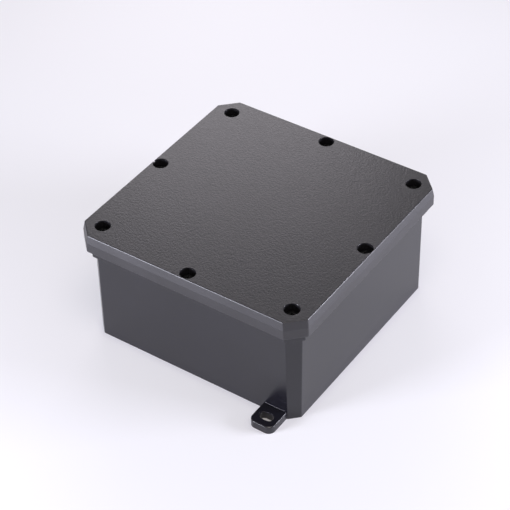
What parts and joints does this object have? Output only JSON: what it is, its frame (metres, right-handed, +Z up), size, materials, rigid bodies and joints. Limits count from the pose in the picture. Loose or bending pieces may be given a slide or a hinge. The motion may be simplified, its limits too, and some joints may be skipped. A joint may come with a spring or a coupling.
{
  "type": "waterproof junction box",
  "caption": "Square sealed junction box with overlapping screwed lid, slotted fixing feet, cable glands and an internal terminal block.",
  "frame": {"origin": "middle of the base's flat underside, below the middle of the square lid", "axes": "+Z up out of the lid; +Y through the side with the two outgoing glands; the supply gland points along -X; the near fixing foot is on the -Y side"},
  "size_m": [0.1425, 0.1473, 0.062],
  "materials": {
    "box_plastic": "satin black moulding with a fine spark-eroded grain on the lid",
    "gasket_silicone": "matt",
    "blackened_screw": "blackened steel",
    "gland_rubber": "matt",
    "gland_plastic": "satin",
    "terminal_plastic": "satin",
    "clamp_brass": "machined",
    "plated_screw": "zinc plated"
  },
  "bodies": {
    "base": {"base_box": "box_plastic", "out_gland_1_body": "gland_plastic", "out_gland_1_washer": "gland_rubber", "out_gland_1_seal": "gland_rubber", "out_gland_1_locknut": "gland_plastic", "out_gland_2_body": "gland_plastic", "out_gland_2_washer": "gland_rubber", "out_gland_2_seal": "gland_rubber", "out_gland_2_locknut": "gland_plastic", "supply_gland_body": "gland_plastic", "supply_gland_washer": "gland_rubber", "supply_gland_seal": "gland_rubber", "supply_gland_locknut": "gland_plastic", "terminal_housing": "terminal_plastic", "wire_clamp_1": "clamp_brass", "wire_clamp_2": "clamp_brass", "wire_clamp_3": "clamp_brass", "block_screw_1": "plated_screw", "block_screw_2": "plated_screw"},
    "lid": {"lid": "box_plastic", "lid_gasket": "gasket_silicone"},
    "lid_screw_1": {"lid_screw_1": "blackened_screw"},
    "lid_screw_2": {"lid_screw_2": "blackened_screw"},
    "lid_screw_3": {"lid_screw_3": "blackened_screw"},
    "lid_screw_4": {"lid_screw_4": "blackened_screw"},
    "lid_screw_5": {"lid_screw_5": "blackened_screw"},
    "lid_screw_6": {"lid_screw_6": "blackened_screw"},
    "lid_screw_7": {"lid_screw_7": "blackened_screw"},
    "lid_screw_8": {"lid_screw_8": "blackened_screw"},
    "clamp_screw_1": {"clamp_screw_1": "plated_screw"},
    "clamp_screw_2": {"clamp_screw_2": "plated_screw"},
    "clamp_screw_3": {"clamp_screw_3": "plated_screw"},
    "clamp_screw_4": {"clamp_screw_4": "plated_screw"},
    "clamp_screw_5": {"clamp_screw_5": "plated_screw"},
    "clamp_screw_6": {"clamp_screw_6": "plated_screw"},
    "out_gland_1_nut": {"out_gland_1_nut": "gland_plastic"},
    "out_gland_2_nut": {"out_gland_2_nut": "gland_plastic"},
    "supply_gland_nut": {"supply_gland_nut": "gland_plastic"}
  },
  "joints": [
    {"name": "lid_lift", "type": "slide", "parent": "base", "child": "lid", "axis": [0, 0, 1], "range_m": [0, 0.045]},
    {"name": "lid_screw_1_out", "type": "slide", "parent": "lid", "child": "lid_screw_1", "axis": [0, 0, 1], "range_m": [0, 0.014]},
    {"name": "lid_screw_2_out", "type": "slide", "parent": "lid", "child": "lid_screw_2", "axis": [0, 0, 1], "range_m": [0, 0.014]},
    {"name": "lid_screw_3_out", "type": "slide", "parent": "lid", "child": "lid_screw_3", "axis": [0, 0, 1], "range_m": [0, 0.014]},
    {"name": "lid_screw_4_out", "type": "slide", "parent": "lid", "child": "lid_screw_4", "axis": [0, 0, 1], "range_m": [0, 0.014]},
    {"name": "lid_screw_5_out", "type": "slide", "parent": "lid", "child": "lid_screw_5", "axis": [0, 0, 1], "range_m": [0, 0.014]},
    {"name": "lid_screw_6_out", "type": "slide", "parent": "lid", "child": "lid_screw_6", "axis": [0, 0, 1], "range_m": [0, 0.014]},
    {"name": "lid_screw_7_out", "type": "slide", "parent": "lid", "child": "lid_screw_7", "axis": [0, 0, 1], "range_m": [0, 0.014]},
    {"name": "lid_screw_8_out", "type": "slide", "parent": "lid", "child": "lid_screw_8", "axis": [0, 0, 1], "range_m": [0, 0.014]},
    {"name": "clamp_screw_1_out", "type": "slide", "parent": "base", "child": "clamp_screw_1", "axis": [0, 0, 1], "range_m": [0, 0.0038]},
    {"name": "clamp_screw_2_out", "type": "slide", "parent": "base", "child": "clamp_screw_2", "axis": [0, 0, 1], "range_m": [0, 0.0038]},
    {"name": "clamp_screw_3_out", "type": "slide", "parent": "base", "child": "clamp_screw_3", "axis": [0, 0, 1], "range_m": [0, 0.0038]},
    {"name": "clamp_screw_4_out", "type": "slide", "parent": "base", "child": "clamp_screw_4", "axis": [0, 0, 1], "range_m": [0, 0.0038]},
    {"name": "clamp_screw_5_out", "type": "slide", "parent": "base", "child": "clamp_screw_5", "axis": [0, 0, 1], "range_m": [0, 0.0038]},
    {"name": "clamp_screw_6_out", "type": "slide", "parent": "base", "child": "clamp_screw_6", "axis": [0, 0, 1], "range_m": [0, 0.0038]},
    {"name": "out_gland_1_nut_turn", "type": "hinge", "parent": "base", "child": "out_gland_1_nut", "pos_m": [-0.02, 0.057, 0.02], "axis": [0, 1, 0], "range_deg": [0, 1080]},
    {"name": "out_gland_2_nut_turn", "type": "hinge", "parent": "base", "child": "out_gland_2_nut", "pos_m": [0.02, 0.057, 0.02], "axis": [0, 1, 0], "range_deg": [0, 1080]},
    {"name": "supply_gland_nut_turn", "type": "hinge", "parent": "base", "child": "supply_gland_nut", "pos_m": [-0.057, 0.022, 0.02], "axis": [-1, 0, 0], "range_deg": [0, 1080]}
  ]
}
